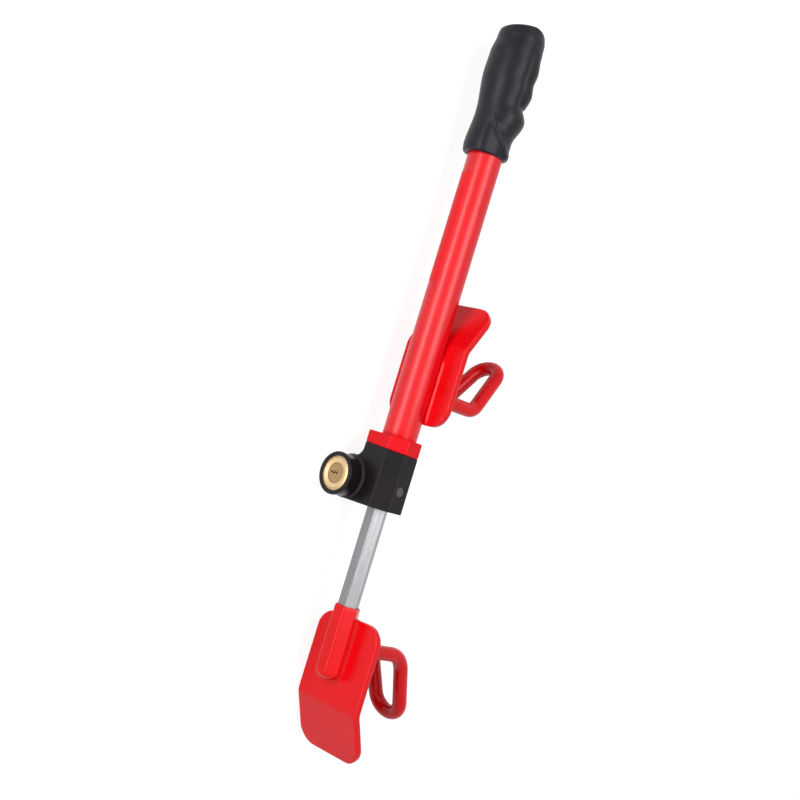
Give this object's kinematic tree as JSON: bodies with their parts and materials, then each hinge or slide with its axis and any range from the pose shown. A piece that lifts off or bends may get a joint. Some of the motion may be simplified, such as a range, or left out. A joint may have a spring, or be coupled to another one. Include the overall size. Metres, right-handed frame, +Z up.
{
  "type": "steering wheel lock",
  "caption": "Telescoping steering wheel lock: red tube and hexagonal bar with a hooked clamp plate on each, key cylinder housing between them and a black finger grip.",
  "frame": {"origin": "middle of the underside of the whole lock's box, as it lies on its side on a floor at z = 0", "axes": "+X along the bar towards the grip, +Y towards the key side, +Z up"},
  "size_m": [0.5312, 0.1128, 0.0629],
  "materials": {
    "red_paint": "gloss red enamel",
    "red_vinyl": "thick glossy red vinyl dip",
    "black_rubber": "soft satin rubber",
    "black_plastic": "satin moulded plastic",
    "bush_plastic": "natural bearing plastic",
    "dark_plug": "black moulded plug",
    "brass": "turned and polished",
    "worn_brass": "darker, handled",
    "steel": "bright zinc plated"
  },
  "bodies": {
    "lock_body": {"outer_tube": "red_paint", "tube_end_plug": "black_plastic", "grip": "black_rubber", "upper_plate": "red_vinyl", "upper_hook": "red_vinyl", "upper_welds": "red_vinyl", "lock_housing": "red_paint", "housing_jacket": "black_plastic", "boss_collar": "black_plastic", "bar_bush": "bush_plastic", "cylinder_body": "brass", "face_ring": "brass", "cylinder_screw": "steel", "driver_pins": "brass", "pin_springs": "steel", "bore_plug": "dark_plug"},
    "sliding_bar": {"slide_bar": "steel", "stop_collar": "steel", "stop_pin": "steel", "lower_sleeve": "red_vinyl", "lower_plate": "red_vinyl", "lower_hook": "red_vinyl", "lower_welds": "red_vinyl"},
    "key_plug": {"key_plug": "worn_brass", "key_pins": "steel", "drive_cam": "steel"},
    "locking_bolt": {"locking_bolt": "steel"}
  },
  "joints": [
    {"name": "bar_slide", "type": "slide", "parent": "lock_body", "child": "sliding_bar", "axis": [-1, 0, 0], "range_m": [-0.06, 0.16]},
    {"name": "key_turn", "type": "hinge", "parent": "lock_body", "child": "key_plug", "pos_m": [-0.07402, 0.04492, 0.0152], "axis": [0, 1, 0], "range_deg": [0, 90]},
    {"name": "bolt_slide", "type": "slide", "parent": "lock_body", "child": "locking_bolt", "axis": [0, 0, 1], "range_m": [0, 0.0033]}
  ],
  "couplings": [
    {"joint": "bolt_slide", "follows": "key_turn", "m_per_rad": 0.0021008}
  ]
}
